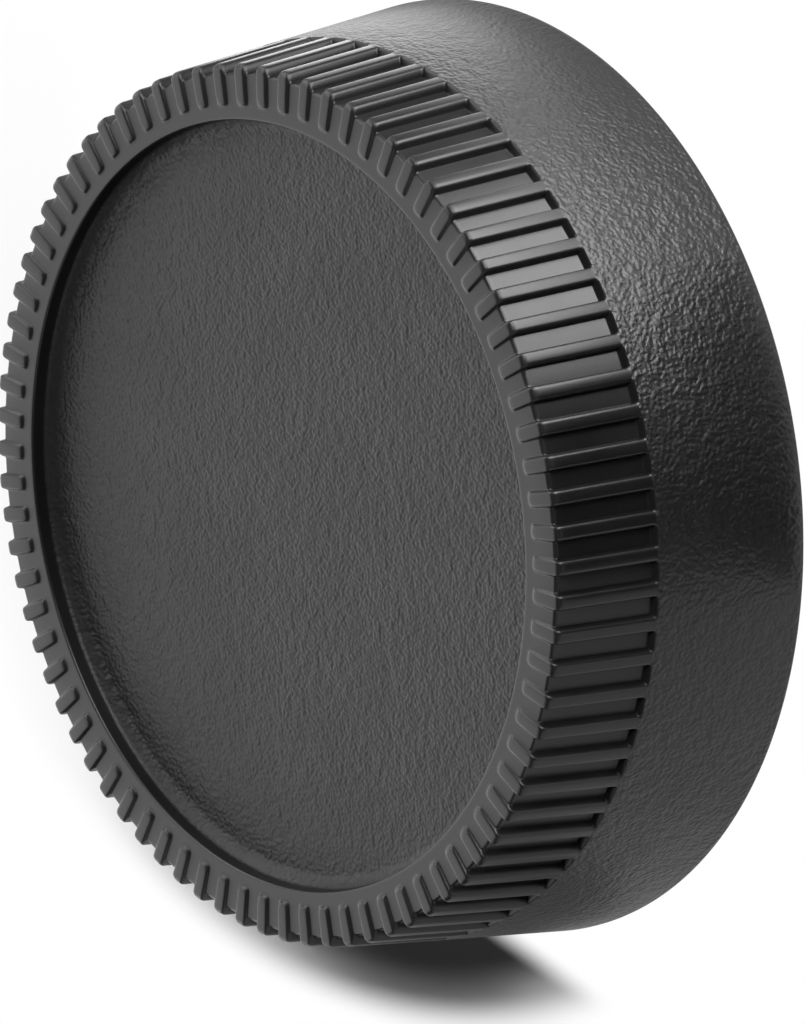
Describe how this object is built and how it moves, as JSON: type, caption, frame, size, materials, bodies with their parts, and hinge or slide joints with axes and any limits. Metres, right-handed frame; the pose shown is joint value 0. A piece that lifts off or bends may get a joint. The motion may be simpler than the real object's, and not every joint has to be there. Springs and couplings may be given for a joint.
{
  "type": "rear lens cap",
  "caption": "Flared black plastic cup that covers the bayonet end of a camera lens, with a ribbed grip band round its closed face, a recessed panel and a plain grained skirt.",
  "frame": {"origin": "middle of the mouth, in the plane of the rim that the cap rests on", "axes": "+Z along the cap's axis, from the open mouth to the closed face"},
  "size_m": [0.062, 0.062, 0.019],
  "materials": {
    "black_plastic": "black moulding, fine grain on panel and skirt, smooth satin on ribs and ring"
  },
  "bodies": {
    "root": {"lens_cap": "black_plastic"}
  },
  "joints": []
}
